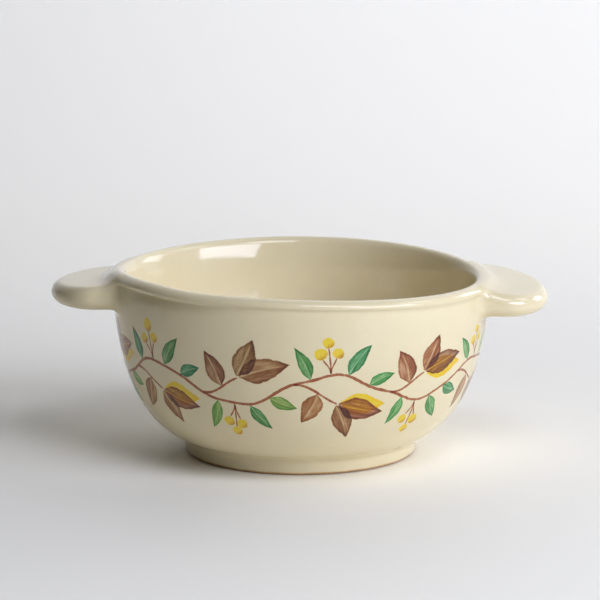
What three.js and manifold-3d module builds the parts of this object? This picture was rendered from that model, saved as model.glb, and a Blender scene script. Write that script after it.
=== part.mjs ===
import * as THREE from "three";
import { mergeVertices } from "three/addons/utils/BufferGeometryUtils.js";
import Module from "manifold-3d";

// A two-handled soup bowl of glazed stoneware. Millimetres, +Z up, foot on z = 0,
// the lug handles on the X axis.

// ---- sizes -------------------------------------------------------------
const SEGMENTS = 64; // facets round the bowl
const SEAM_GAP = 0.15; // clearance on each side of a slip seam
const SLIP = 0.6; // fired thickness of the slip that lutes a lug handle on
const FOOT_SLIP = 0.4; // fired thickness of the slip under the base

// outside of the bowl wall, from the base corner up to the groove under the rim
const OUTER = [
  [42.7, 6.45],
  [44.8, 6.9],
  [47.5, 8.1],
  [50.3, 10.15],
  [53.5, 13.15],
  [56.75, 17.15],
  [59.7, 22.15],
  [62.25, 28.15],
  [64.35, 35.15],
  [66.0, 43.0],
  [67.1, 50.7],
  [67.58, 56.5],
  [67.7, 59.8],
  [67.71, 61.8],
];
// the rolled rim: over the bead from the groove to the inner edge
const RIM = [
  [67.76, 62.74],
  [67.93, 63.22],
  [68.2, 63.52],
  [68.41, 63.91],
  [68.41, 64.42],
  [68.16, 64.96],
  [67.67, 65.45],
  [67.0, 65.86],
  [66.19, 66.18],
  [65.28, 66.34],
  [64.32, 66.17],
  [63.45, 65.6],
  [62.82, 64.71],
];
const RIM_CREST = 9; // index of the rim's highest point
// inside of the bowl, from under the rim down to the middle of the floor
const INNER = [
  [62.33, 63.5],
  [61.8, 61.7],
  [60.9, 56.9],
  [59.9, 49.8],
  [58.9, 44.8],
  [57.6, 39.0],
  [55.85, 33.0],
  [53.6, 27.1],
  [50.65, 21.9],
  [46.7, 17.6],
  [41.5, 14.3],
  [34.5, 12.3],
  [25.2, 11.2],
  [13.6, 10.8],
  [0.0, 10.7],
];
const BASE_UNDERSIDE = 6.45; // flat base that the foot ring is luted to

// foot ring, closed profile
const FOOT_TOP = BASE_UNDERSIDE - 2 * 0.05 - FOOT_SLIP;
const FOOT = [
  [37.6, 0.0],
  [40.9, 0.0],
  [41.5, 0.3],
  [41.75, 1.0],
  [41.9, 2.4],
  [42.2, 4.5],
  [42.5, FOOT_TOP],
  [35.9, FOOT_TOP],
  [36.3, 2.6],
  [36.6, 0.8],
  [37.0, 0.2],
];
const FOOT_SLIP_INNER = 36.4;
const FOOT_SLIP_OUTER = 42.1;

// lug handles: a D-shaped tab whose top leans up to the wall and ends in a ramp to
// the rim; half width, start and power give the superellipse of the outline, tip is
// measured from the bowl's axis
const LUG = {
  left: {
    side: -1, width: 24.3, start: 73.0, power: 1.88, tip: 89.9,
    top: 62.35, bottom: 54.55, twist: 0, lean: 0.1, ramp: 74.0, rise: 1.2,
  },
  right: {
    side: 1, width: 25.4, start: 71.0, power: 2.08, tip: 89.1,
    top: 63.3, bottom: 55.6, twist: 0.036, lean: 0.12, ramp: 76.0, rise: 0.55,
  },
};
const LUG_LEAN_AT = 82.0; // where the leaning top has its nominal height
const LUG_ROUND = 3.9; // rounding of the tip edge
const LUG_ROOT = 61.0; // start of the blank, inside the wall, cut away later
const LUG_WALL = 67.5; // where the ramp has its full rise
const LUG_FILLET = 1.8; // how far the underside drops to the wall
const LUG_ARC = 9; // points round each side of a section
const LUG_FLAT = 7; // points between them along the top, and along the bottom
const LUG_AROUND = 2 * (LUG_ARC + LUG_FLAT);
// sections along a lug: from the bowl's axis, then back from the tip
const LUG_STATIONS = [LUG_ROOT, 66.5, 68.5, 70.5, 72.5, 75.0, 77.5, 80.0, 82.2];
const LUG_TIP_STATIONS = [5.6, 4.1, 2.9, 1.9, 1.1, 0.5, 0.12];

// the fired bowl is a little out of true: its rim dips to +X and is not quite flat
const WARP = { cos1: -1.03, sin1: 0.39, cos2: -0.76, sin2: 0.42 };
const WARP_RADIUS = 64.0;
const WARP_FROM = 12.0;
const WARP_TO = 66.0;

const CREAM = 0xe9e2cd;
const CLAY = 0xcdbb9b;

// ---- helpers -----------------------------------------------------------
const wasm = await Module();
wasm.setup();

function solidFrom(geometry) {
  const bare = new THREE.BufferGeometry().setAttribute(
    "position",
    (geometry.index ? geometry.toNonIndexed() : geometry).getAttribute(
      "position",
    ),
  );
  const merged = mergeVertices(bare, 1e-4);
  const index = merged.index.array;
  const kept = [];
  for (let i = 0; i < index.length; i += 3) {
    const [a, b, c] = [index[i], index[i + 1], index[i + 2]];
    if (a !== b && b !== c && a !== c) kept.push(a, b, c);
  }
  return new wasm.Manifold(
    new wasm.Mesh({
      numProp: 3,
      vertProperties: merged.attributes.position.array,
      triVerts: new Uint32Array(kept),
    }),
  );
}

function geometryFrom(solid) {
  const m = solid.getMesh();
  const position = new Float32Array(m.numVert * 3);
  for (let i = 0; i < m.numVert; i++)
    position.set(
      m.vertProperties.subarray(i * m.numProp, i * m.numProp + 3),
      i * 3,
    );
  return new THREE.BufferGeometry()
    .setAttribute("position", new THREE.BufferAttribute(position, 3))
    .setIndex(new THREE.BufferAttribute(m.triVerts, 1));
}

// a profile of [radius, height] turned about Z, as a closed solid facing out
function turned(profile) {
  const points = profile.map(([r, z]) => new THREE.Vector2(r, z));
  const geometry = new THREE.LatheGeometry(points, SEGMENTS);
  geometry.rotateX(Math.PI / 2);
  return solidFrom(geometry);
}

const smooth = (profile, count) =>
  new THREE.SplineCurve(profile.map(([r, z]) => new THREE.Vector2(r, z)))
    .getPoints(count)
    .map((p) => [Math.max(p.x, 0), p.y]);

// the outside of the wall and the rim moved out by a distance, filled to the axis
function wallFilled(out) {
  const wall = smooth(OUTER, 24).filter(([, z]) => z > 40);
  const bead = RIM.slice(0, RIM_CREST + 1);
  const line = [...wall, ...bead].map(([r, z]) => [r + out, z]);
  const crest = RIM[RIM_CREST][1] + out + 3;
  return turned([
    [0, line[0][1]],
    ...line,
    [line[line.length - 1][0], crest],
    [0, crest],
  ]);
}

// half width, top and bottom of a lug at a distance u from the bowl's axis
function lugSection(lug, u, inset) {
  const span = (u - lug.start) / (lug.tip - lug.start);
  const half =
    span <= 0
      ? lug.width
      : lug.width *
        Math.pow(Math.max(1 - Math.pow(span, lug.power), 0), 1 / lug.power);
  const near = Math.min(
    Math.max((lug.ramp - u) / (lug.ramp - LUG_WALL), 0),
    1.2,
  );
  const middle = (lug.top + lug.bottom) / 2;
  let up =
    lug.top - middle + lug.lean * (LUG_LEAN_AT - u) + lug.rise * near * near;
  let down = middle - lug.bottom + LUG_FILLET * near * near;
  const past = (u - (lug.tip - LUG_ROUND)) / LUG_ROUND;
  if (past > 0) {
    const k = Math.sqrt(Math.max(1 - past * past, 0));
    up *= k;
    down *= k;
  }
  return {
    half: Math.max(half - inset, 0),
    up: Math.max(up - inset, 0),
    down: Math.max(down - inset, 0),
    middle,
  };
}

function lugBlank(lug, inset) {
  const stations = [
    ...LUG_STATIONS,
    ...LUG_TIP_STATIONS.map((back) => lug.tip - back),
  ];
  const rings = stations.map((u) => {
    const s = lugSection(lug, u, inset);
    const round = Math.min((s.up + s.down) / 2, s.half);
    const straight = s.half - round;
    const flat = [];
    for (const end of [1, -1]) {
      for (let k = 0; k < LUG_ARC; k++) {
        const a = (k / (LUG_ARC - 1) - 0.5) * Math.PI;
        flat.push([end * (straight + round * Math.cos(a)), end * Math.sin(a)]);
      }
      for (let k = 1; k <= LUG_FLAT; k++)
        flat.push([end * straight * (1 - (2 * k) / (LUG_FLAT + 1)), end]);
    }
    return flat.map(([y, t]) => [
      lug.side * u,
      y,
      s.middle + (t > 0 ? s.up : s.down) * t + lug.twist * y,
    ]);
  });
  const vertices = rings.flat();
  const middle = (lug.top + lug.bottom) / 2;
  const root = vertices.push([lug.side * LUG_ROOT, 0, middle]) - 1;
  const tip = vertices.push([lug.side * lug.tip, 0, middle]) - 1;
  const faces = [];
  const last = (rings.length - 1) * LUG_AROUND;
  for (let k = 0; k < LUG_AROUND; k++) {
    const n = (k + 1) % LUG_AROUND;
    faces.push([root, n, k], [tip, last + k, last + n]);
    for (let i = 0; i < rings.length - 1; i++) {
      const a = i * LUG_AROUND;
      const b = a + LUG_AROUND;
      faces.push([a + k, a + n, b + n], [a + k, b + n, b + k]);
    }
  }
  const position = [];
  for (const [a, b, c] of faces) {
    const order = lug.side > 0 ? [a, b, c] : [a, c, b];
    for (const i of order) position.push(...vertices[i]);
  }
  return solidFrom(
    new THREE.BufferGeometry().setAttribute(
      "position",
      new THREE.Float32BufferAttribute(position, 3),
    ),
  );
}

function warped(geometry) {
  const p = geometry.getAttribute("position");
  for (let i = 0; i < p.count; i++) {
    const [x, y, z] = [p.getX(i), p.getY(i), p.getZ(i)];
    const t = Math.min(
      Math.max((z - WARP_FROM) / (WARP_TO - WARP_FROM), 0),
      1,
    );
    const a = Math.atan2(y, x);
    const lift =
      WARP.cos1 * Math.cos(a) +
      WARP.sin1 * Math.sin(a) +
      WARP.cos2 * Math.cos(2 * a) +
      WARP.sin2 * Math.sin(2 * a);
    p.setZ(
      i,
      z + t * t * (3 - 2 * t) * (Math.hypot(x, y) / WARP_RADIUS) * lift,
    );
  }
  return geometry;
}

const bowl = new THREE.Group();
function add(name, solid, color, roughness) {
  const mesh = new THREE.Mesh(
    warped(geometryFrom(solid)),
    new THREE.MeshStandardMaterial({ color, roughness, metalness: 0 }),
  );
  mesh.name = name;
  bowl.add(mesh);
}

// ---- pieces ------------------------------------------------------------
// thrown body: base, wall and rolled rim
add(
  "bowl_body",
  turned([
    [0, BASE_UNDERSIDE],
    ...smooth(OUTER, 24),
    ...RIM,
    ...smooth(INNER, 20),
  ]),
  CREAM,
  0.12,
);

// foot ring and the slip that holds it to the base
add("foot_ring", turned([...FOOT, FOOT[0]]), CREAM, 0.2);
const slipLow = FOOT_TOP + 0.05;
add(
  "foot_slip",
  turned([
    [FOOT_SLIP_INNER, slipLow],
    [FOOT_SLIP_OUTER, slipLow],
    [FOOT_SLIP_OUTER, slipLow + FOOT_SLIP],
    [FOOT_SLIP_INNER, slipLow + FOOT_SLIP],
    [FOOT_SLIP_INNER, slipLow],
  ]),
  CLAY,
  0.85,
);

// lug handles and the slip that holds each to the wall
const lugCut = wallFilled(2 * SEAM_GAP + SLIP);
const slipOutside = wallFilled(SEAM_GAP + SLIP);
const slipInside = wallFilled(SEAM_GAP);
for (const [side, lug] of Object.entries(LUG)) {
  add("lug_handle_" + side, lugBlank(lug, 0).subtract(lugCut), CREAM, 0.12);
  add(
    "lug_slip_" + side,
    lugBlank(lug, 0.5).intersect(slipOutside).subtract(slipInside),
    CLAY,
    0.85,
  );
}

export default bowl;
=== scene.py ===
import math

import bpy
import numpy as np
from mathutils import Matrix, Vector


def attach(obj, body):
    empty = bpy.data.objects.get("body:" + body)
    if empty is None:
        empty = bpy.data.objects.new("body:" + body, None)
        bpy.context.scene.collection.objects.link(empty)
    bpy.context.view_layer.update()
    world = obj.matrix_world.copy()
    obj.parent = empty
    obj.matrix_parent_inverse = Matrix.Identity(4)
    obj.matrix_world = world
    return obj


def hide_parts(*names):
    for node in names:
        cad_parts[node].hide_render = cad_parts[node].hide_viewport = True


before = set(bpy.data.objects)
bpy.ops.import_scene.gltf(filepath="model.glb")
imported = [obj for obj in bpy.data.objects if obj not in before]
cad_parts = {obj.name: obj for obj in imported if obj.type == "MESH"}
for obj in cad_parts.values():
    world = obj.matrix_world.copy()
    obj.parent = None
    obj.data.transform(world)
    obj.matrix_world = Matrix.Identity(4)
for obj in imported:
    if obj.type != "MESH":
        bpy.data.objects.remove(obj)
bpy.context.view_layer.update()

# A two-handled soup bowl of cream-glazed stoneware. Shapes are worked out in
# millimetres, foot on z = 0, lug handles on the X axis, and placed in metres.
MM = 0.001
SEED = 11

# ---------------------------------------------------------------- the turned shape
UNDERSIDE = [
    (-14.0, 6.45),
    (0.0, 6.45),
    (14.0, 6.45),
    (26.0, 6.45),
    (36.0, 6.45),
    (41.5, 6.45),
]
OUTER = [
    (44.9, 6.75),
    (47.5, 8.0),
    (50.2, 10.0),
    (53.5, 13.0),
    (56.8, 17.0),
    (59.8, 22.0),
    (62.3, 28.0),
    (64.4, 35.0),
    (66.1, 43.0),
    (67.2, 51.0),
    (67.65, 57.0),
    (67.7, 60.0),
    (67.7, 62.0),
]
RIM = [
    (67.74, 62.8),
    (67.9, 63.25),
    (68.22, 63.5),
    (68.45, 63.88),
    (68.45, 64.42),
    (68.2, 64.97),
    (67.7, 65.47),
    (67.02, 65.88),
    (66.2, 66.2),
    (65.3, 66.4),
    (64.3, 66.25),
    (63.4, 65.65),
    (62.8, 64.75),
]
INNER = [
    (62.35, 63.6),
    (61.8, 61.8),
    (61.3, 59.6),
    (60.9, 57.0),
    (60.5, 54.0),
    (59.95, 50.0),
    (59.0, 45.0),
    (57.65, 39.0),
    (55.95, 33.0),
    (53.7, 27.0),
    (50.8, 21.8),
    (46.9, 17.4),
    (41.8, 14.1),
    (35.0, 12.1),
    (25.5, 11.1),
    (14.0, 10.75),
    (0.0, 10.7),
    (-14.0, 10.75),
]

WARP = (-1.03, 0.39, -0.76, 0.42)  # rim lift by cos, sin, cos 2, sin 2 of the angle
LEFT_RISE = 1.1  # and a little more of it just in front of the left lug
LIP = np.array([  # height, then how far the rim's side moves out and up near the left and right lug
    (55.5, 0.0, 0.0, 0.0, 0.0),
    (57.0, -0.02, 0.2, 0.0, 0.0),
    (58.5, -0.12, 0.5, -0.03, 0.0),
    (60.0, -0.4, 0.7, -0.13, 0.1),
    (61.0, -0.7, 0.7, -0.3, 0.1),
    (62.0, -0.85, 0.5, -0.36, -0.05),
    (62.8, -0.72, 0.3, -0.22, -0.2),
    (63.25, -0.3, -0.03, -0.12, -0.15),
    (63.5, 0.0, -0.2, -0.27, -0.05),
    (63.88, 0.05, -0.33, -0.37, -0.03),
    (64.42, 0.05, -0.27, -0.37, -0.02),
    (64.97, 0.0, -0.22, -0.32, -0.02),
    (65.47, 0.0, -0.17, -0.2, -0.02),
    (65.88, 0.0, -0.1, -0.04, 0.0),
    (66.2, 0.0, 0.0, 0.0, 0.0),
])
LIP_AT = np.linspace(54.0, 67.0, 261)
LIP_SOFT = np.exp(-0.5 * (np.arange(-15, 16) * 0.05 / 0.12) ** 2)
LIP_MOVE = [
    np.convolve(np.pad(np.interp(LIP_AT, LIP[:, 0], LIP[:, k]), 15), LIP_SOFT / LIP_SOFT.sum(), "valid")
    for k in (1, 2, 3, 4)
]
SHOULDER = 0.4  # and its shoulder sinks where they take over


def smoothstep(low, high, x):
    t = np.clip((x - low) / (high - low), 0.0, 1.0)
    return t * t * (3.0 - 2.0 * t)


def warped(p):
    """The rim's lip runs out into the lugs, and the fired bowl is a little out of true."""
    p = np.array(p, float)
    off = np.degrees(np.arctan2(np.abs(p[..., 1]), np.abs(p[..., 0])))
    r, z = np.hypot(p[..., 0], p[..., 1]), p[..., 2].copy()
    lip = smoothstep(19, 29, off) * (1 - smoothstep(38, 78, off))
    lip = lip * smoothstep(64.6, 66.4, r) * (1 - smoothstep(70, 75, r))
    left_out, left_up, right_out, right_up = (lip * np.interp(z, LIP_AT, move) for move in LIP_MOVE)
    out = np.where(p[..., 0] < 0, left_out, right_out)
    p[..., 2] += np.where(p[..., 0] < 0, left_up, right_up)
    p[..., :2] *= (1 + out / np.maximum(r, 1e-6))[..., None]
    left = np.degrees(np.arctan2(-p[..., 1], -p[..., 0]))
    rise = LEFT_RISE * smoothstep(-4, 16, left) * (1 - smoothstep(32, 62, left))
    p[..., 2] += rise * smoothstep(50, 64, z) * (1 - smoothstep(68.5, 74, r))
    angle = np.arctan2(p[..., 1], p[..., 0])
    lift = (
        WARP[0] * np.cos(angle)
        + WARP[1] * np.sin(angle)
        + WARP[2] * np.cos(2 * angle)
        + WARP[3] * np.sin(2 * angle)
    )
    reach = np.hypot(p[..., 0], p[..., 1]) / 64.0
    p[..., 2] += smoothstep(12.0, 66.0, p[..., 2]) * reach * lift
    return p


def shoulder(u, v, w):
    """How far the rim's outer shoulder sinks at a point."""
    off = np.degrees(np.arctan2(np.abs(v), np.abs(u)))
    sink = (1 - smoothstep(12, 34, off)) * smoothstep(65.4, 68.0, np.hypot(u, v))
    return SHOULDER * sink * smoothstep(61.5, 65.5, w)


def warped_normals(p, n, step=0.01):
    """Normals n at the points p, carried through the warp."""
    columns = []
    for axis in range(3):
        move = np.zeros(3)
        move[axis] = step
        columns.append((warped(p + move) - warped(p - move)) / (2 * step))
    jacobian = np.stack(columns, -1)
    out = np.linalg.solve(np.swapaxes(jacobian, -1, -2), n[..., None])[..., 0]
    return out / np.linalg.norm(out, axis=-1, keepdims=True)


class Spline:
    """A cubic B-spline in the plane. Distances are positive on its right-hand side."""

    def __init__(self, points):
        self.c = np.array(points, float)
        self.n = len(self.c) - 3
        self.t = np.linspace(0.0, self.n, self.n * 6 + 1)
        self.coarse = self.at(self.t)

    def at(self, t, order=0):
        t = np.asarray(t, float)
        i = np.clip(np.floor(t).astype(int), 0, self.n - 1)
        f = t - i
        if order == 0:
            w = (
                (1 - f) ** 3 / 6,
                (3 * f**3 - 6 * f**2 + 4) / 6,
                (-3 * f**3 + 3 * f**2 + 3 * f + 1) / 6,
                f**3 / 6,
            )
        elif order == 1:
            w = (
                -((1 - f) ** 2) / 2,
                (3 * f**2 - 4 * f) / 2,
                (-3 * f**2 + 2 * f + 1) / 2,
                f**2 / 2,
            )
        else:
            w = (1 - f, 3 * f - 2, 1 - 3 * f, f)
        return sum(w[k][..., None] * self.c[i + k] for k in range(4))

    def search(self, q):
        t = np.empty(len(q))
        for start in range(0, len(q), 4000):
            part = q[start : start + 4000]
            gap = (
                (part[:, None, 0] - self.coarse[None, :, 0]) ** 2
                + (part[:, None, 1] - self.coarse[None, :, 1]) ** 2
            )
            t[start : start + 4000] = self.t[gap.argmin(1)]
        return t

    def distance(self, q, t=None):
        """(distance, its gradient, the parameter of the closest point)"""
        t = self.search(q) if t is None else t
        for _ in range(4):
            e = self.at(t) - q
            d1, d2 = self.at(t, 1), self.at(t, 2)
            speed = (d1 * d1).sum(-1)
            slope = np.maximum(speed + (e * d2).sum(-1), 0.25 * speed)
            t = np.clip(t - np.clip((e * d1).sum(-1) / slope, -0.6, 0.6), 0, self.n)
        d1 = self.at(t, 1)
        normal = np.stack([d1[:, 1], -d1[:, 0]], -1)
        normal /= np.linalg.norm(normal, axis=-1, keepdims=True)
        return ((q - self.at(t)) * normal).sum(-1), normal, t

    def by_length(self, spacing):
        """Parameters along the spline, spaced by spacing(point) millimetres."""
        fine = np.linspace(0.0, self.n, self.n * 60 + 1)
        p = self.at(fine)
        step = np.linalg.norm(np.diff(p, axis=0), axis=-1)
        rate = step / np.array([spacing(m) for m in (p[1:] + p[:-1]) / 2])
        count = np.concatenate([[0.0], np.cumsum(rate)])
        rows = max(int(round(count[-1])), 2)
        return np.interp(np.linspace(0, count[-1], rows + 1), count, fine)


PROFILE = Spline(UNDERSIDE + OUTER + RIM + INNER)


def param_at(spline, value, axis, low, high):
    """The parameter between low and high where a coordinate has a value."""
    t = np.linspace(low, high, 4001)
    return t[np.abs(spline.at(t)[:, axis] - value).argmin()]


T_WALL = (len(UNDERSIDE), len(UNDERSIDE) + len(OUTER) - 2)
T_CREST = T_WALL[1] + np.argmax(
    PROFILE.at(np.linspace(T_WALL[1], T_WALL[1] + len(RIM), 4001))[:, 1]
) * len(RIM) / 4000


def make_mesh(name, points, faces, normals=None):
    mesh = bpy.data.meshes.new(name)
    mesh.from_pydata((points * MM).tolist(), [], faces)
    mesh.update()
    mesh.polygons.foreach_set("use_smooth", np.ones(len(mesh.polygons), bool))
    if normals is not None:
        mesh.normals_split_custom_set_from_vertices(normals.tolist())
    obj = bpy.data.objects.new(name, mesh)
    bpy.context.scene.collection.objects.link(obj)
    return obj


def lathe_faces(rows, around, first=0, closed=False):
    faces = []
    for i in range(rows - 1 + (1 if closed else 0)):
        a, b = first + i * around, first + ((i + 1) % rows) * around
        for j in range(around):
            k = (j + 1) % around
            faces.append((a + j, a + k, b + k, b + j))
    return faces


# ---------------------------------------------------------------- bowl body
AROUND = 640


BODY_ANGLE = -math.pi / 2 + (np.arange(AROUND) - AROUND // 2) / AROUND * 2 * math.pi  # front in the middle


def bowl_body():
    t = PROFILE.by_length(body_spacing)
    t = t[(t > 1.02) & (t < PROFILE.n - 1.02)]
    t = t[PROFILE.at(t)[:, 0] > 1.5]
    ring = PROFILE.at(t)
    angle = BODY_ANGLE
    points = np.stack(
        [
            ring[:, None, 0] * np.cos(angle),
            ring[:, None, 0] * np.sin(angle),
            np.repeat(ring[:, 1:], AROUND, 1),
        ],
        -1,
    ).reshape(-1, 3)
    faces = lathe_faces(len(ring), AROUND)
    low, high = len(points), len(points) + 1
    points = np.concatenate([points, [[0, 0, ring[0, 1]], [0, 0, ring[-1, 1]]]])
    points[:, 2] -= shoulder(*points.T)
    last = (len(ring) - 1) * AROUND
    for j in range(AROUND):
        k = (j + 1) % AROUND
        faces.append((low, k, j))
        faces.append((high, last + j, last + k))
    obj = make_mesh("bowl_body_glazed", warped(points), faces)
    unroll(obj.data, ring, t)
    return obj, points, t


def unroll(mesh, ring, t):
    """A map with the outer wall and the rim in four strips each, the inside and the underside as discs."""
    rows = len(ring)
    step = np.linalg.norm(np.diff(ring, axis=0), axis=-1)
    run = np.concatenate([[0], np.cumsum(step)])
    wall = int(np.argmax(t >= T_WALL[0]))
    rim = int(np.argmax((t > T_WALL[1] - 2) & (ring[:, 1] > 63.15)))
    inside = int(np.argmax((t > T_CREST) & (ring[:, 1] < 63.3)))
    strips = {
        "wall": (wall, rim, (0.006, 0.288), 0.27),
        "rim": (rim, inside, (0.57, 0.617), 0.035),
    }
    column = np.arange(AROUND)
    turn = (column - AROUND // 8) % AROUND
    quarter, part = turn // (AROUND // 4), (turn % (AROUND // 4)) / (AROUND // 4)
    place = np.empty((rows - 1, AROUND, 4, 2))
    across = np.stack([part, part + 4 / AROUND, part + 4 / AROUND, part], -1)
    for first, last, levels, high in strips.values():
        for i in range(first, last):
            f = (run[[i, i, i + 1, i + 1]] - run[first]) / (run[last] - run[first])
            place[i, :, :, 0] = (quarter % 2)[:, None] * 0.5 + 0.0075 + 0.485 * across
            place[i, :, :, 1] = np.array(levels)[quarter // 2][:, None] + high * f[None, :]
    away = BODY_ANGLE[:, None] + np.array([0, 1, 1, 0]) * 2 * math.pi / AROUND
    discs = []
    for first, last, middle, reach in (
        (0, wall, (0.52, 0.83), ring[:, 0]),
        (inside, rows - 1, (0.17, 0.83), run[-1] - run + ring[-1, 0]),
    ):
        size = 0.16 / reach[first : last + 1].max()
        for i in range(first, last):
            r = reach[[i, i, i + 1, i + 1]] * size
            place[i, :, :, 0] = middle[0] + r * np.cos(away)
            place[i, :, :, 1] = middle[1] + r * np.sin(away)
        discs.append((middle, (reach[0] if first == 0 else reach[-1]) * size))
    flat = [place.reshape(-1, 2)]
    caps = np.empty((AROUND, 2, 3, 2))
    (low, low_r), (high, high_r) = discs
    for corner, angle in ((1, away[:, 1]), (2, away[:, 0])):
        caps[:, 0, corner] = np.array(low) + low_r * np.stack([np.cos(angle), np.sin(angle)], -1)
    for corner, angle in ((1, away[:, 0]), (2, away[:, 1])):
        caps[:, 1, corner] = np.array(high) + high_r * np.stack([np.cos(angle), np.sin(angle)], -1)
    caps[:, 0, 0], caps[:, 1, 0] = low, high
    flat.append(caps.reshape(-1, 2))
    mesh.uv_layers.new(name="OFBake").data.foreach_set("uv", np.concatenate(flat).ravel())


def body_spacing(p):
    """Row spacing on the body: fine where the brush work and the rim are."""
    r, z = p
    if z < 7.0 and r < 44.0:
        return 5.0
    if z > 61.2 and r > 62.3:
        return 0.42
    inside = np.interp(z, [q[1] for q in INNER[-2::-1]], [q[0] for q in INNER[-2::-1]])
    if r < inside + 1.2:
        return 2.2 if z > 40 else 3.6
    return 0.62 if 15.0 < z < 57.0 else 1.0


body, body_rest, body_rows = bowl_body()

# ---------------------------------------------------------------- lug handles
LUGS = {
    "left": dict(side=-1, half=24.3, power=1.88, widest=73.0, tip=89.9, top=62.35, bottom=54.55, twist=0.0, valley=73.0, skew=0.0, slope=0.1),
    "right": dict(side=1, half=25.4, power=2.08, widest=71.0, tip=89.1, top=63.3, bottom=55.6, twist=0.036, valley=76.0, skew=-0.1, slope=0.12),
}
LUG_SLOPE_AT = 82.0
LUG_WALL = 67.5
LUG_EDGE = 3.6
LUG_CREST, LUG_CREST_AT = 66.3, 65.2
BLEND_TOP, BLEND_LOW = 4.0, 6.0


class Lug:
    def __init__(self, half, power, widest, tip, top, bottom, twist, valley, skew, slope, side):
        self.side, self.twist, self.valley, self.skew, self.slope = side, twist, valley, skew, slope
        self.mid, self.h = (top + bottom) / 2, (top - bottom) / 2
        wide = [(u, half + 0.02 * (widest - u)) for u in np.arange(48.0, widest - 0.5, 2.5)]
        meet = math.asin(half / LUG_WALL)
        self.meet = meet
        nose = []
        for a in np.linspace(math.pi / 2, 0, 23):
            c, s = math.cos(a), math.sin(a)
            nose.append(
                (
                    widest + (tip - widest) * abs(c) ** (2 / power),
                    half * abs(s) ** (2 / power),
                )
            )

        def mirrored(upper):
            return Spline(upper + [(u, -v) for u, v in upper[-2::-1]])

        self.plan = mirrored(wide + nose)
        past = [
            (LUG_WALL * math.cos(meet + s / LUG_WALL), LUG_WALL * math.sin(meet + s / LUG_WALL))
            for s in np.arange(8.5, 0.4, -1.5)
        ]
        self.columns = mirrored(past + [q for q in wide if math.hypot(*q) > LUG_WALL + 0.8] + nose)
        self.t = {"body": None, "plan": None}

    def field(self, p, fresh=False):
        """Signed distance to bowl and lug joined by soft fillets, and its gradient."""
        u, v, w = p[:, 0], p[:, 1], p[:, 2]
        r = np.hypot(u, v)
        if fresh:
            self.t = {"body": None, "plan": None}
        lifted = w
        for _ in range(7):
            lifted = w + shoulder(u, v, lifted)
        body_d, body_n, self.t["body"] = PROFILE.distance(
            np.stack([r, lifted], -1), self.t["body"]
        )
        plan_d, plan_n, self.t["plan"] = self.plan.distance(
            np.stack([u, v], -1), self.t["plan"]
        )
        plan_d, plan_n = -plan_d, -plan_n
        body_g = np.stack([body_n[:, 0] * u / r, body_n[:, 0] * v / r, body_n[:, 1]], -1)
        # the top leans up towards the bowl and ends in an S to the rim's crest
        climb = LUG_CREST - self.mid - self.h - self.twist * v - self.slope * (LUG_SLOPE_AT - LUG_CREST_AT)
        valley = self.valley + self.skew * v
        f = np.clip((valley - r) / (valley - LUG_CREST_AT), 0.0, 1.0)
        ramp = climb * f**3 * (4 - 3 * f) + self.slope * (LUG_SLOPE_AT - r)
        slant = -climb * 12 * f * f * (1 - f) / (valley - LUG_CREST_AT) - self.slope
        rise = w - self.mid - self.twist * v
        above = rise > 0
        steep = np.where(above, 1 / np.hypot(1.0, slant), 1.0)
        side = plan_d + LUG_EDGE
        tall = np.where(above, (rise - ramp - self.h) * steep, -rise - self.h) + LUG_EDGE
        up = np.where(above, 1.0, -1.0)
        lean = np.where(above, -slant, 0.0) * steep / r
        out = np.maximum(side, 0), np.maximum(tall, 0)
        corner = np.hypot(*out)
        slab = np.minimum(np.maximum(side, tall), 0) + corner - LUG_EDGE
        safe = np.maximum(corner, 1e-9)
        a = np.where(corner > 1e-9, out[0] / safe, (side > tall) * 1.0)
        b = np.where(corner > 1e-9, out[1] / safe, (side <= tall) * 1.0)
        slab_g = np.stack(
            [plan_n[:, 0] * a + lean * u * b, plan_n[:, 1] * a + lean * v * b, up * steep * b], -1
        )
        k = BLEND_LOW + (BLEND_TOP - BLEND_LOW) * smoothstep(-3.0, 3.0, rise)
        k = np.maximum(k * smoothstep(64.3, 68.3, r), 1e-3)
        h = np.clip(k - np.abs(body_d - slab), 0, None) / k
        near = (body_d < slab)[:, None]
        low_g, high_g = np.where(near, body_g, slab_g), np.where(near, slab_g, body_g)
        mix = (h * h / 2)[:, None]
        return np.minimum(body_d, slab) - h**3 * k / 6, low_g * (1 - mix) + high_g * mix

    def above(self, p):
        """How far points lie outside the bowl's own surface."""
        u, v, w = p.T
        lifted = w
        for _ in range(7):
            lifted = w + shoulder(u, v, lifted)
        return PROFILE.distance(np.stack([np.hypot(u, v), lifted], -1))[0]

    def settle(self, p, level=0.0, steps=1, fresh=False):
        for i in range(steps):
            d, g = self.field(p, fresh and i == 0)
            move = (d - level) / np.maximum((g * g).sum(-1), 0.15)
            p = p - np.clip(move, -1.5, 1.5)[:, None] * g
        return p

    def normals(self, p, step=0.02):
        self.field(p, True)
        g = np.zeros_like(p)
        for axis in range(3):
            move = np.zeros(3)
            move[axis] = step
            g[:, axis] = self.field(p + move)[0] - self.field(p - move)[0]
        return g / np.linalg.norm(g, axis=-1, keepdims=True)


LUG_COLUMNS = 1.0  # spacing along the outline
LUG_ROWS = dict(bead=11, top=22, edge=18, low=18, wall=12)
LUG_END = 45.5  # where the lower fillet has run out on the wall


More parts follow.
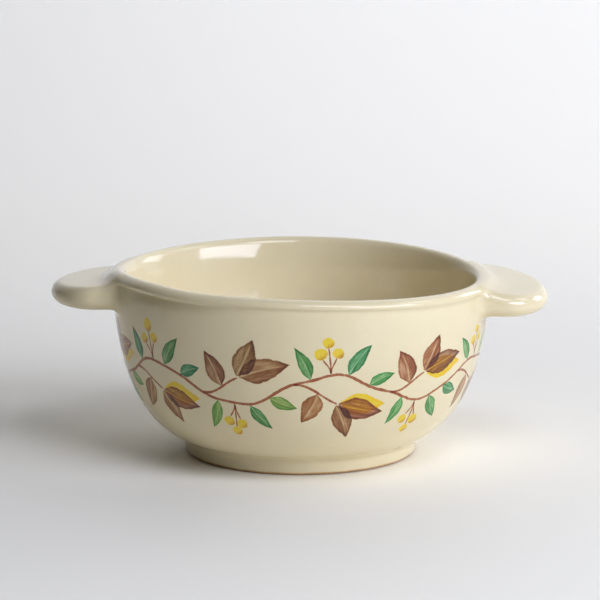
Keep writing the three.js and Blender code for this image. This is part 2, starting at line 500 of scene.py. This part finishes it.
def lug_grid(lug):
    t = lug.columns.by_length(lambda p: LUG_COLUMNS)
    plan = lug.columns.at(t)
    angle, reach = np.arctan2(plan[:, 1], plan[:, 0]), np.hypot(plan[:, 0], plan[:, 1])
    reach = np.maximum(reach, LUG_WALL)
    keep = np.concatenate([[True], np.diff(angle) < -1e-4])
    angle, reach = angle[keep], reach[keep]
    bead_t = np.linspace(T_CREST + 0.1, param_at(PROFILE, 68.6, 0, T_WALL[1], T_CREST), LUG_ROWS["bead"])
    bead = PROFILE.at(bead_t)
    wall_t = np.linspace(
        param_at(PROFILE, lug.mid - lug.h - 3.0, 1, *T_WALL),
        param_at(PROFILE, LUG_END, 1, *T_WALL),
        LUG_ROWS["wall"] + 1,
    )
    wall = PROFILE.at(wall_t)
    columns = []
    for a, out in zip(angle, reach):
        long = out - LUG_WALL
        root = LUG_WALL + (long - LUG_EDGE if long > 2 * LUG_EDGE else long * 0.5)
        tilt = lug.twist * out * math.sin(a)
        top, low = lug.mid + lug.h + tilt, lug.mid - lug.h + tilt
        line = [bead]
        f = np.linspace(0, 1, LUG_ROWS["top"] + 1)[1:, None]
        line.append(bead[-1] * (1 - f) + np.array([root, top]) * f)
        s = np.linspace(math.pi / 2, -math.pi / 2, LUG_ROWS["edge"] + 1)[1:]
        line.append(
            np.stack(
                [root + (out - root) * np.cos(s), (top + low) / 2 + (top - low) / 2 * np.sin(s)], -1
            )
        )
        f = np.linspace(0, 1, LUG_ROWS["low"] + 1)[1:, None]
        line.append(np.array([root, low]) * (1 - f) + wall[0] * f)
        line.append(wall[1:])
        line = np.concatenate(line)
        columns.append(
            np.stack([line[:, 0] * math.cos(a), line[:, 0] * math.sin(a), line[:, 1]], -1)
        )
    return np.stack(columns)


def lug_handle(name, spec):
    lug = Lug(**spec)
    grid = lug_grid(lug)
    na, nb, _ = grid.shape
    flat = lug.settle(grid.reshape(-1, 3), steps=8, fresh=True)
    for i in range(60):
        g = flat.reshape(na, nb, 3)
        mean = g.copy()
        mean[1:-1, 1:-1] = (g[2:, 1:-1] + g[:-2, 1:-1] + g[1:-1, 2:] + g[1:-1, :-2]) / 4
        flat = (0.4 * g + 0.6 * mean).reshape(-1, 3)
        flat = lug.settle(flat, steps=1, fresh=i % 15 == 0)
    flat = lug.settle(flat, steps=4, fresh=True)
    normal = lug.normals(flat)
    index = np.arange(na * nb).reshape(na, nb)
    a, b = np.meshgrid(np.arange(na), np.arange(nb), indexing="ij")
    border = np.minimum(np.minimum(a, na - 1 - a), np.minimum(b, nb - 1 - b)).ravel()
    # where the fillets have run out, the lug goes under the bowl's skin
    sink = 0.12 * (1 - smoothstep(0.0, 0.05, lug.above(flat)))
    flat = flat - normal * np.maximum(sink, np.interp(border, [0, 1, 2, 3], [0.07, 0.03, 0.008, 0.0]))[:, None]
    faces = []
    for i in range(na - 1):
        for j in range(nb - 1):
            faces.append((index[i, j], index[i + 1, j], index[i + 1, j + 1], index[i, j + 1]))
    # the hidden back, inside the wall
    edge = np.concatenate([index[:, 0], index[-1, 1:], index[-2::-1, -1], index[0, -2:0:-1]])
    inner = flat[edge] - normal[edge] * 0.6
    first = len(flat)
    slot = {e: first + i for i, e in enumerate(edge)}
    for i, e in enumerate(edge):
        n = edge[(i + 1) % len(edge)]
        faces.append((n, e, slot[e], slot[n]))
    for i in range(na - 1):
        faces.append((slot[index[i, 0]], slot[index[i, -1]], slot[index[i + 1, -1]], slot[index[i + 1, 0]]))
    faces.append([slot[index[0, j]] for j in range(nb)][::1])
    faces.append([slot[index[-1, j]] for j in range(nb)][::-1])
    points = np.concatenate([flat, inner])
    normal = np.concatenate([normal, normal[edge]])
    turn = np.array([lug.side, lug.side, 1.0])
    points, normal = points * turn, normal * turn
    faces = [tuple(int(v) for v in f) for f in faces]
    normal = warped_normals(points, normal)
    return make_mesh(name, warped(points), faces, normal)


lugs = {side: lug_handle("lug_handle_" + side + "_glazed", dict(spec)) for side, spec in LUGS.items()}

# ---------------------------------------------------------------- foot ring


def bezier(p0, p1, p2, p3, count):
    t = np.linspace(0, 1, count)[:, None]
    return (1 - t) ** 3 * p0 + 3 * (1 - t) ** 2 * t * p1 + 3 * (1 - t) * t * t * p2 + t**3 * p3


def foot_ring():
    ends = []
    for r in (48.6,):
        t = param_at(PROFILE, r, 0, T_WALL[0] - 2, T_WALL[1])
        d = PROFILE.at(t, 1)
        ends.append((PROFILE.at(t), d / np.linalg.norm(d)))
    (top, along), = ends
    sunk = np.array([along[1], -along[0]])
    band = Spline(
        [
            (35.2, 6.2),
            (35.9, 4.6),
            (36.25, 2.6),
            (36.55, 0.9),
            (36.95, 0.2),
            (37.7, 0.0),
            (38.4, 0.0),
            (39.2, 0.0),
            (40.2, 0.0),
            (41.1, 0.04),
            (41.65, 0.38),
            (41.82, 1.1),
            (41.92, 2.4),
            (42.06, 3.6),
            (42.27, 4.6),
            (42.6, 5.4),
        ]
    )
    t = band.by_length(lambda p: 0.3 if p[0] > 38 else 0.45)
    line = band.at(t)
    start, start_dir = band.at(band.n - 1e-6), band.at(band.n - 1e-6, 1)
    start_dir = start_dir / np.linalg.norm(start_dir)
    skirt = bezier(start, start + start_dir * 1.7, top - along * 2.4, top, 20)[1:]
    sink = np.interp(np.arange(len(skirt)), [len(skirt) - 4, len(skirt) - 2, len(skirt) - 1], [0, 0.03, 0.07])
    skirt = skirt - sunk * sink[:, None]
    inner_start, inner_dir = band.at(0.0), -band.at(0.0, 1)
    inner_dir = inner_dir / np.linalg.norm(inner_dir)
    inner_end = np.array([32.6, 6.45])
    inside = bezier(inner_end + [0, 0.06], inner_end + [1.6, 0.0], inner_start + inner_dir * 0.9, inner_start, 14)[:-1]
    line = np.concatenate([[[32.4, 6.75]], inside, line, skirt, [[48.0, 8.9], [44.0, 7.6], [38.0, 7.3]]])
    angle = np.arange(AROUND // 2) / (AROUND // 2) * 2 * math.pi
    points = np.stack(
        [
            line[:, None, 0] * np.cos(angle),
            line[:, None, 0] * np.sin(angle),
            np.repeat(line[:, 1:], len(angle), 1),
        ],
        -1,
    ).reshape(-1, 3)
    return make_mesh("foot_ring_glazed", points, lathe_faces(len(line), len(angle), closed=True))


foot = foot_ring()


# ---------------------------------------------------------------- brush work
# A leaf and berry garland round the wall, laid out on the unrolled wall in
# millimetres: s runs to the right from the front, q up along the wall.
WRAP = 64.0 * 2 * math.pi
WAVES = 6
WAVE = WRAP / WAVES
BOLD = 1.3  # size of the motifs
VINE_RISE = 5.4
VINE_Z = 35.0
MARGIN = 1.5

BROWNS = [(0.36, 0.17, 0.085), (0.32, 0.145, 0.075), (0.42, 0.20, 0.09)]
GREENS = [(0.09, 0.38, 0.13), (0.05, 0.31, 0.15), (0.20, 0.48, 0.11)]
YELLOW = (1.0, 0.80, 0.035)
REDDISH = (0.42, 0.14, 0.075)


def leaf_width(u):
    """Half-width of a leaf along its midrib, from the stalk end to the tip."""
    u = np.clip(u, 0.0, 1.0)
    return np.interp(u, *zip(*LEAF_CURVE))


LEAF_CURVE = [
    (0.0, 0.06),
    (0.06, 0.26),
    (0.15, 0.62),
    (0.26, 0.9),
    (0.38, 1.0),
    (0.52, 0.95),
    (0.66, 0.76),
    (0.79, 0.5),
    (0.9, 0.24),
    (0.97, 0.07),
    (1.0, 0.0),
]


class Brush:
    """Brush strokes as (along, across, here) values on the wall's vertices."""

    def __init__(self):
        rows = np.nonzero((body_rows > T_WALL[0] - 1) & (body_rows < T_WALL[1] + 2))[0]
        self.first = rows[0]
        line = PROFILE.at(body_rows[rows])
        length = np.concatenate([[0], np.cumsum(np.linalg.norm(np.diff(line, axis=0), axis=-1))])
        self.q = length - np.interp(VINE_Z, line[:, 1], length)
        self.s = (BODY_ANGLE + math.pi / 2) * 64.0
        self.layers = {"leaf": [], "line": [], "dab": []}

    def window(self, low, high):
        rows = np.nonzero((self.q > low[1]) & (self.q < high[1]))[0]
        mid, half = (low[0] + high[0]) / 2, (high[0] - low[0]) / 2
        off = (self.s - mid + WRAP / 2) % WRAP - WRAP / 2
        cols = np.nonzero(np.abs(off) < half)[0]
        grid = np.stack(np.meshgrid(off[cols] + mid, self.q[rows]), -1).reshape(-1, 2)
        index = ((self.first + rows)[:, None] * AROUND + cols[None, :]).ravel()
        return grid, index

    def put(self, kind, index, values, colour, depth):
        # a clear cell all round keeps strokes of one layer from running together
        row, col = index // AROUND, index % AROUND
        around = [((row + i) * AROUND + (col + j) % AROUND) for i in (-1, 0, 1) for j in (-1, 0, 1)]
        for layer in self.layers[kind]:
            if not any(layer["here"][a].any() for a in around):
                break
        else:
            n = len(body_rest)
            layer = {
                "here": np.zeros(n, bool),
                "brush": np.tile([-1.0, 9.0, 0.0], (n, 1)),
                "paint": np.ones((n, 4)),
            }
            self.layers[kind].append(layer)
        layer["here"][index] = True
        layer["brush"][index] = values
        layer["paint"][index] = (*colour, depth)

    def along(self, grid, spine):
        """Arc length along a spine, run on past its ends, and the offset to its left."""
        head = spine[0] - (spine[1] - spine[0]) / np.linalg.norm(spine[1] - spine[0]) * 4
        tail = spine[-1] + (spine[-1] - spine[-2]) / np.linalg.norm(spine[-1] - spine[-2]) * 4
        line = np.concatenate([[head], spine, [tail]])
        step = np.diff(line, axis=0)
        size = np.linalg.norm(step, axis=-1)
        start = np.concatenate([[0], np.cumsum(size)])[:-1] - 4
        best, u, v = np.full(len(grid), 1e9), np.zeros(len(grid)), np.zeros(len(grid))
        for a, d, l, at in zip(line[:-1], step, size, start):
            e = grid - a
            f = np.clip((e @ d) / (l * l), 0, 1)
            gap = e - f[:, None] * d
            dist = np.linalg.norm(gap, axis=-1)
            side = np.where(d[0] * e[:, 1] - d[1] * e[:, 0] > 0, 1.0, -1.0)
            near = dist < best - 1e-9
            best = np.where(near, dist, best)
            u, v = np.where(near, at + f * l, u), np.where(near, side * dist, v)
        return u, v

    def leaf(self, base, angle, length, half, colour, bend=0.0, depth=0.5):
        t = np.linspace(0, 1, 24)
        turn = math.radians(angle) + math.radians(bend) * (t - 0.5)
        step = np.stack([np.cos(turn), np.sin(turn)], -1) * (length / 23)
        spine = np.array(base) + np.concatenate([[[0, 0]], np.cumsum(step[:-1], axis=0)])
        pad = half + MARGIN + 1
        grid, index = self.window(spine.min(0) - pad, spine.max(0) + pad)
        u, v = self.along(grid, spine)
        u = u / length
        keep = (np.abs(v) < half * leaf_width(u) + MARGIN) & (u > -MARGIN / length) & (u < 1 + MARGIN / length)
        values = np.stack([u, v / half, np.ones(len(u))], -1)[keep]
        self.put("leaf", index[keep], values, colour, depth)

    def round_line(self, path, half, colour):
        """A line that runs once round the wall, q = path(s)."""
        s, q = np.meshgrid(self.s, self.q)
        fine = np.linspace(-WRAP / 2, WRAP / 2, 4001)
        run = np.concatenate([[0], np.cumsum(np.hypot(np.diff(fine), np.diff(path(fine))))])
        lean = np.interp(s, fine, np.gradient(path(fine), fine))
        v = ((q - path(s)) / np.hypot(1, lean)).ravel()
        u = np.interp(s - v.reshape(s.shape) * lean / np.hypot(1, lean), fine, run).ravel()
        keep = np.abs(v) < half + MARGIN
        index = ((self.first + np.arange(len(self.q)))[:, None] * AROUND + np.arange(AROUND)[None, :]).ravel()
        values = np.stack([u, v / half, np.ones(len(u))], -1)[keep]
        self.put("line", index[keep], values, colour, 0.5)

    def line(self, spine, start, end, colour, depth=0.5, tip=True):
        spine = np.array(spine, float)
        total = np.linalg.norm(np.diff(spine, axis=0), axis=-1).sum()
        pad = max(start, end) + MARGIN + 0.5
        grid, index = self.window(spine.min(0) - pad, spine.max(0) + pad)
        u, v = self.along(grid, spine)
        half = start + (end - start) * np.clip(u / total, 0, 1)
        ends = smoothstep(-0.25, 0.6, u) * (1 - smoothstep(total - (1.6 if tip else 0.6), total + 0.25, u))
        half = np.maximum(half * ends, 0.02)
        keep = (np.abs(v) < max(start, end) + MARGIN) & (u > -MARGIN) & (u < total + MARGIN)
        values = np.stack([u, v / half, np.ones(len(u))], -1)[keep]
        self.put("line", index[keep], values, colour, depth)

    def dab(self, centre, radius, colour, depth=0.5):
        pad = radius + MARGIN
        grid, index = self.window(np.array(centre) - pad, np.array(centre) + pad)
        off = (grid - centre) / radius
        keep = np.linalg.norm(off, axis=-1) < 1 + MARGIN / radius
        values = np.stack([off[:, 0], off[:, 1], np.ones(len(off))], -1)[keep]
        self.put("dab", index[keep], values, colour, depth)


def curve(points, count=28):
    return bezier(*[np.array(p, float) for p in points], count)


def garland():
    brush = Brush()
    rng = np.random.default_rng(SEED)
    vine_wobble = [(k, rng.normal(0, 0.32), rng.uniform(0, 2 * math.pi)) for k in (3, 5, 11, 13, 17, 21)]

    def vine(s):
        a = 2 * math.pi * s / WRAP
        q = VINE_RISE * np.sin(WAVES * a + 0.6)
        return q + sum(size * np.sin(k * a + phase) for k, size, phase in vine_wobble)

    brush.round_line(vine, 0.6, REDDISH)
    crest = (math.pi / 2 - 0.6) / (2 * math.pi) * WAVE
    for half in range(2 * WAVES):
        up = 1 if half % 2 == 0 else -1
        s0 = crest + half * WAVE / 2 - WRAP / 2 + (0 if WAVES % 2 == 0 else WAVE / 2)

        def at(x, y):
            """A point by its distance along from the crest and out from the vine."""
            return np.array([s0 + x, vine(s0 + x) + up * y])

        def turned(angle):
            return up * angle

        def near(value, spread):
            return value * (1 + rng.uniform(-spread, spread))

        def tone(colours):
            return tuple(c * rng.uniform(0.9, 1.12) for c in colours[rng.integers(len(colours))])

        # a stalk into the hollow of the wave, with three leaves
        root = at(BOLD * (-10.0 + rng.uniform(-1, 1)), 0)
        knot = np.array([s0 + BOLD * (1.5 + rng.uniform(-0.8, 0.8)), up * (VINE_RISE - BOLD * (7.6 + rng.uniform(-0.5, 0.5)))])
        stalk = curve((root, root + [BOLD * 4.5, up * BOLD * 0.6], knot + [BOLD * -4.5, up * BOLD * 2.0], knot))
        brush.line(stalk, 0.55, 0.42, REDDISH, rng.uniform(0.35, 0.65), tip=False)
        first, lean = BOLD * near(14.0, 0.06), near(-14, 0.2)
        if half % 2 == 0 or rng.uniform() < 0.5:
            brush.leaf(knot + [0.9, up * 0.8], turned(lean + 8), first * 0.96, BOLD * 3.3, YELLOW, turned(16), 0.4)
        brush.leaf(knot + [0.2, 0], turned(lean), first, BOLD * near(3.25, 0.07), tone(BROWNS), turned(16), rng.uniform(0.3, 0.7))
        brush.leaf(knot + [-0.6, up * -0.4], turned(near(-66, 0.08)), BOLD * near(11.4, 0.07), BOLD * near(3.0, 0.07), tone(BROWNS), turned(-12), rng.uniform(0.3, 0.8))
        joint = stalk[15]
        if rng.uniform() < 0.4:
            brush.leaf(joint + [-0.5, up * -0.6], turned(-122), BOLD * 10.0, BOLD * 2.9, YELLOW, turned(-22), 0.6)
        brush.leaf(joint + [0, up * -0.3], turned(near(-112, 0.06)), BOLD * near(10.6, 0.08), BOLD * near(2.8, 0.07), tone(BROWNS), turned(-22), rng.uniform(0.3, 0.8))
        # green leaves out of the vine's back
        for x, angle, length, bend in ((-5.5, 118, 9.4, 26), (4.6, 52, 10.2, -24), (9.8, 22, 7.8, -18)):
            x = BOLD * (x + rng.uniform(-0.6, 0.6))
            brush.leaf(at(x, 0.3), turned(near(angle, 0.07)), BOLD * near(length, 0.08), BOLD * near(1.8, 0.1), tone(GREENS), turned(bend), rng.uniform(0.3, 0.8))
        # three berries over the crest
        top = at(-0.4, 0.3)
        for x, y in ((-2.5, 5.4), (1.5, 6.1), (-0.7, 8.9)):
            x, y = BOLD * (x + rng.uniform(-0.3, 0.3)), BOLD * (y + rng.uniform(-0.3, 0.3))
            spot, size = top + [x, up * y], BOLD * near(1.6, 0.08)
            end = spot - np.array([x * 0.3, up * y * 0.4]) / math.hypot(x * 0.3, y * 0.4) * size * 0.8
            brush.line(curve((top, top + [0, up * y * 0.35], end - [x * 0.3, up * y * 0.25], end), 12), 0.36, 0.28, REDDISH, 0.4, tip=False)
            brush.dab(spot, size, YELLOW, rng.uniform(0.3, 0.7))
    return brush


def store(mesh, brush):
    names = []
    for kind, layers in brush.layers.items():
        for i, layer in enumerate(layers):
            name = kind + "_" + str(i)
            mesh.attributes.new(name, "FLOAT_VECTOR", "POINT").data.foreach_set("vector", layer["brush"].ravel())
            mesh.attributes.new(name + "_paint", "FLOAT_COLOR", "POINT").data.foreach_set("color", layer["paint"].ravel())
            names.append((kind, name))
    return names


painted = store(body.data, garland())


# ---------------------------------------------------------------- finish
class Nodes:
    """Short hands for wiring a material."""

    def __init__(self, name):
        self.mat = bpy.data.materials.new(name)
        self.mat.use_nodes = True
        self.tree = self.mat.node_tree
        self.shader = self.tree.nodes["Principled BSDF"]

    def add(self, kind, **settings):
        node = self.tree.nodes.new("ShaderNode" + kind)
        for key, value in settings.items():
            setattr(node, key, value)
        return node

    def feed(self, socket, value):
        if isinstance(value, bpy.types.NodeSocket):
            self.tree.links.new(value, socket)
        else:
            socket.default_value = value

    def math(self, operation, a, b=0.0, clamp=False):
        node = self.add("Math", operation=operation, use_clamp=clamp)
        self.feed(node.inputs[0], a)
        self.feed(node.inputs[1], b)
        return node.outputs[0]

    def span(self, value, low, high, to_low=0.0, to_high=1.0):
        node = self.add("MapRange", interpolation_type="SMOOTHSTEP")
        for socket, v in zip(node.inputs[:5], (value, low, high, to_low, to_high)):
            self.feed(socket, v)
        return node.outputs[0]

    def noise(self, vector, scale, detail=2.0, rough=0.5):
        node = self.add("TexNoise")
        self.feed(node.inputs["Vector"], vector)
        self.feed(node.inputs["Scale"], scale)
        self.feed(node.inputs["Detail"], detail)
        self.feed(node.inputs["Roughness"], rough)
        return node.outputs["Fac"]

    def xyz(self, x, y, z):
        node = self.add("CombineXYZ")
        for socket, v in zip(node.inputs, (x, y, z)):
            self.feed(socket, v)
        return node.outputs[0]

    def multiply(self, colour, tint, amount):
        """A stain over a colour, deeper where there is more of it."""
        gamma = self.add("Gamma")
        self.feed(gamma.inputs["Color"], tint)
        self.feed(gamma.inputs["Gamma"], amount)
        mix = self.add("MixRGB", blend_type="MULTIPLY")
        self.feed(mix.inputs["Fac"], 1.0)
        self.feed(mix.inputs["Color1"], colour)
        self.feed(mix.inputs["Color2"], gamma.outputs["Color"])
        return mix.outputs["Color"]

    def ramp(self, value, stops):
        node = self.add("ValToRGB")
        elements = node.color_ramp.elements
        while len(elements) < len(stops):
            elements.new(0.5)
        for element, (at, colour) in zip(elements, stops):
            element.position, element.color = at, (*colour, 1)
        self.feed(node.inputs["Fac"], value)
        return node.outputs["Color"]


def stroke(n, kind, name, place, colour):
    """One layer of brush strokes: where it is, and how deep its stain lies."""
    brush = n.add("Attribute", attribute_name=name)
    paint = n.add("Attribute", attribute_name=name + "_paint")
    split = n.add("SeparateXYZ")
    n.feed(split.inputs[0], brush.outputs["Vector"])
    u, v, here = split.outputs
    seed = paint.outputs["Alpha"]
    here = n.math("GREATER_THAN", here, 0.995)
    hand = n.math("SUBTRACT", n.noise(place, 420.0, 2.0), 0.5)
    grain = n.math("SUBTRACT", n.noise(place, 1700.0, 2.0, 0.7), 0.5)
    lots = n.math("MULTIPLY", seed, 37.0)
    if kind == "leaf":
        curve = n.add("FloatCurve")
        points = curve.mapping.curves[0].points
        while len(points) < len(LEAF_CURVE):
            points.new(0.5, 0.5)
        for point, (at, wide) in zip(points, LEAF_CURVE):
            point.location = (at, wide)
            point.handle_type = "AUTO_CLAMPED"
        curve.mapping.update()
        n.feed(curve.inputs["Value"], u)
        across = n.math("ABSOLUTE", n.math("ADD", v, n.math("MULTIPLY", hand, 0.3)))
        inside = n.math("SUBTRACT", curve.outputs[0], across)
        shape = n.math("MULTIPLY", n.span(inside, 0.0, 0.1), n.span(u, 0.0, 0.02))
        rim = n.span(inside, 0.04, 0.34, 1.0, 0.0)
        streak = n.noise(
            n.xyz(n.math("ADD", n.math("MULTIPLY", u, 2.4), lots), n.math("MULTIPLY", v, 4.2), lots), 1.0, 3.0, 0.6
        )
        rib = n.math("MAXIMUM", n.span(n.math("ABSOLUTE", v), 0.03, 0.12), n.span(u, 0.72, 0.95))
        half = n.span(v, -0.2, 0.2, 0.16, -0.12)
        depth = n.math("ADD", 0.86, n.math("MULTIPLY", rim, 0.55))
        depth = n.math("ADD", depth, n.math("MULTIPLY", n.math("SUBTRACT", streak, 0.5), 2.1))
        depth = n.math("ADD", depth, n.math("MULTIPLY", grain, 0.6))
        depth = n.math("ADD", depth, half)
        depth = n.math("ADD", depth, n.span(u, 0.55, 1.0, 0.0, 0.42))
        depth = n.math("MULTIPLY", depth, n.math("ADD", 0.45, n.math("MULTIPLY", rib, 0.55)))
    elif kind == "line":
        flow = n.noise(n.xyz(n.math("MULTIPLY", u, 0.5), lots, 0.0), 1.0, 3.0, 0.65)
        wide = n.math("ADD", 0.5, n.math("MULTIPLY", flow, 0.95))
        across = n.math("ABSOLUTE", n.math("ADD", v, n.math("MULTIPLY", hand, 0.7)))
        inside = n.math("SUBTRACT", wide, across)
        shape = n.span(inside, 0.0, 0.35)
        depth = n.math("ADD", 0.35, n.math("MULTIPLY", flow, 1.2))
        depth = n.math("ADD", depth, n.math("MULTIPLY", grain, 0.5))
    else:
        reach = n.math("SQRT", n.math("ADD", n.math("MULTIPLY", u, u), n.math("MULTIPLY", v, v)))
        inside = n.math("SUBTRACT", n.math("ADD", 1.0, n.math("MULTIPLY", hand, 0.5)), reach)
        shape = n.span(inside, 0.0, 0.16)
        rim = n.span(inside, 0.05, 0.45, 1.0, 0.0)
        depth = n.math("ADD", 0.78, n.math("MULTIPLY", rim, 0.2))
        depth = n.math("ADD", depth, n.math("MULTIPLY", grain, 0.4))
        low = n.math("SUBTRACT", n.math("MULTIPLY", u, 0.55), n.math("MULTIPLY", v, 0.8))
        dusk = n.math("MULTIPLY", n.span(low, 0.0, 1.0), n.math("MULTIPLY", shape, here))
        dusk = n.math("MULTIPLY", dusk, n.math("ADD", 0.55, n.math("MULTIPLY", hand, 0.8)))
        colour = n.multiply(colour, (0.52, 0.25, 0.12, 1), n.math("MAXIMUM", dusk, 0.0))
    amount = n.math("MULTIPLY", n.math("MULTIPLY", shape, here), n.math("MAXIMUM", depth, 0.12))
    return n.multiply(colour, paint.outputs["Color"], amount), amount


def glaze(name, layers=(), clay=False):
    n = Nodes(name)
    place = n.add("TexCoord").outputs["Object"]
    cloud = n.noise(place, 38.0, 3.0, 0.55)
    mottle = n.noise(place, 520.0, 3.0, 0.6)
    tone = n.math("ADD", n.math("MULTIPLY", cloud, 0.7), n.math("MULTIPLY", mottle, 0.3))
    colour = n.ramp(tone, [(0.3, (0.775, 0.664, 0.415)), (0.5, (0.80, 0.694, 0.440)), (0.7, (0.82, 0.718, 0.468))])
    for kind, layer in layers:
        colour, amount = stroke(n, kind, layer, place, colour)
    rough = n.span(n.noise(place, 90.0, 3.0), 0.3, 0.7, 0.08, 0.15)
    if clay:
        # the wiped foot: the glaze stops short of the ground in an uneven edge, and a darker reddish-brown band runs
        # along the lowest millimetre or so above the ground
        split = n.add("SeparateXYZ")
        n.feed(split.inputs[0], place)
        height = n.math("ADD", split.outputs["Z"], n.math("MULTIPLY", n.math("SUBTRACT", n.noise(place, 160.0), 0.5), 0.0007))
        bare = n.span(height, 0.00042, 0.00062, 1.0, 0.0)
        # a darker reddish-brown band along the lowest millimetre, over the glaze's edge and the bare clay
        low_dark_band = n.math("MULTIPLY", n.span(height, 0.0002, 0.0005), n.span(height, 0.0006, 0.0013, 1.0, 0.0))
        grit = n.noise(place, 1500.0, 3.0, 0.7)
        biscuit = n.ramp(grit, [(0.3, (0.36, 0.25, 0.15)), (0.55, (0.50, 0.37, 0.235)), (0.75, (0.58, 0.45, 0.30))])
        mix = n.add("MixRGB")
        n.feed(mix.inputs["Fac"], bare)
        n.feed(mix.inputs["Color1"], colour)
        n.feed(mix.inputs["Color2"], biscuit)
        colour = n.multiply(mix.outputs["Color"], (0.60, 0.36, 0.20, 1), n.math("MULTIPLY", low_dark_band, 0.8))
        rough = n.math("ADD", rough, n.math("MULTIPLY", bare, 0.62))
    n.feed(n.shader.inputs["Base Color"], colour)
    n.feed(n.shader.inputs["Roughness"], rough)
    n.shader.inputs["IOR"].default_value = 1.55
    swell = n.noise(place, 55.0, 2.0, 0.4)
    peel = n.noise(place, 420.0, 2.0, 0.5)
    height = n.math("ADD", swell, n.math("MULTIPLY", peel, 0.06))
    bump = n.add("Bump")
    bump.inputs["Strength"].default_value = 0.35
    bump.inputs["Distance"].default_value = 0.00035
    n.feed(bump.inputs["Height"], height)
    n.feed(n.shader.inputs["Normal"], bump.outputs["Normal"])
    return n.mat


cream = glaze("cream_glaze")
painted_glaze = glaze("painted_glaze", painted)
foot_glaze = glaze("foot_glaze", clay=True)
for piece, nodes in (
    (body, ("bowl_body",)),
    (foot, ("foot_ring", "foot_slip")),
    (lugs["left"], ("lug_handle_left", "lug_slip_left")),
    (lugs["right"], ("lug_handle_right", "lug_slip_right")),
):
    piece.data.materials.append(painted_glaze if piece is body else foot_glaze if piece is foot else cream)
    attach(piece, "root")
    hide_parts(*nodes)


# ---------------------------------------------------------------- stage
def sweep():
    """A pale table top that curves up behind into a backdrop."""
    line = [(-1.6, 0.0), (0.5, 0.0)]
    for a in np.linspace(0, math.pi / 2, 25)[1:]:
        line.append((0.5 + 0.6 * math.sin(a), 0.6 - 0.6 * math.cos(a)))
    line.append((1.1, 2.2))
    points, faces = [], []
    for x in (-2.0, 2.0):
        points += [(x, y, z) for y, z in line]
    n = len(line)
    for i in range(n - 1):
        faces.append((i, n + i, n + i + 1, i + 1))
    mesh = bpy.data.meshes.new("sweep")
    mesh.from_pydata(points, [], faces)
    mesh.update()
    mesh.polygons.foreach_set("use_smooth", np.ones(len(mesh.polygons), bool))
    obj = bpy.data.objects.new("sweep", mesh)
    bpy.context.scene.collection.objects.link(obj)
    mat = bpy.data.materials.new("pale_paper")
    mat.use_nodes = True
    shader = mat.node_tree.nodes["Principled BSDF"]
    shader.inputs["Base Color"].default_value = (0.965, 0.936, 0.84, 1)
    shader.inputs["Roughness"].default_value = 0.55
    mesh.materials.append(mat)
    return obj


floor = sweep()


def area_light(name, azimuth, elevation, distance, size, power, colour=(1, 1, 1)):
    """A soft box seen from the bowl at an azimuth right of the camera and an elevation."""
    light = bpy.data.lights.new(name, "AREA")
    light.shape = "RECTANGLE"
    light.size, light.size_y = size
    light.energy = power
    light.color = colour
    obj = bpy.data.objects.new(name, light)
    a, e = math.radians(azimuth), math.radians(elevation)
    back = Vector((math.sin(a) * math.cos(e), -math.cos(a) * math.cos(e), math.sin(e)))
    obj.location = Vector((0, 0, 0.04)) + back * distance
    obj.rotation_euler = back.to_track_quat("Z", "Y").to_euler()
    bpy.context.scene.collection.objects.link(obj)
    return obj


area_light("key", 53.5, 24.1, 2.4, (1.85, 0.97), 39.0, (0.945, 1.0, 1.22))
area_light("side", 100, 45, 1.15, (0.45, 0.35), 1.05, (0.97, 1.0, 1.12))
area_light("back", 125, 20, 1.15, (0.45, 0.35), 1.5, (0.97, 1.0, 1.12))
front = area_light("front_fill", 0, 90, 1.0, (0.35, 0.25), 1.5, (0.97, 1.0, 1.12))
front.location = (0.2, -0.36, 0.56)
front.rotation_euler = (0, 0, 0)
for name, x, power in (("backdrop_wash_left", -0.6, 0.6), ("backdrop_wash", 0.12, 4.2)):
    wash = area_light(name, 0, 45, 1.0, (0.5, 0.3), power, (0.975, 1.0, 1.14))
    wash.location = (x, 0.3, 0.9)
    wash.rotation_euler = (math.radians(70), 0, 0)
world = bpy.data.worlds.new("studio")
world.use_nodes = True
world.node_tree.nodes["Background"].inputs["Color"].default_value = (1, 1, 1, 1)
world.node_tree.nodes["Background"].inputs["Strength"].default_value = 0.01
bpy.context.scene.world = world
bpy.context.scene.view_settings.view_transform = "Standard"

# ---------------------------------------------------------------- camera
lens = bpy.data.cameras.new("camera")
lens.sensor_width = 36.0
lens.lens = 155.4
lens.clip_start, lens.clip_end = 0.05, 20.0
camera = bpy.data.objects.new("camera", lens)
camera.location = (-0.00025, -0.920, 0.226)
camera.rotation_euler = (math.radians(90 - 10.55), 0, 0)
bpy.context.scene.collection.objects.link(camera)
bpy.context.scene.camera = camera
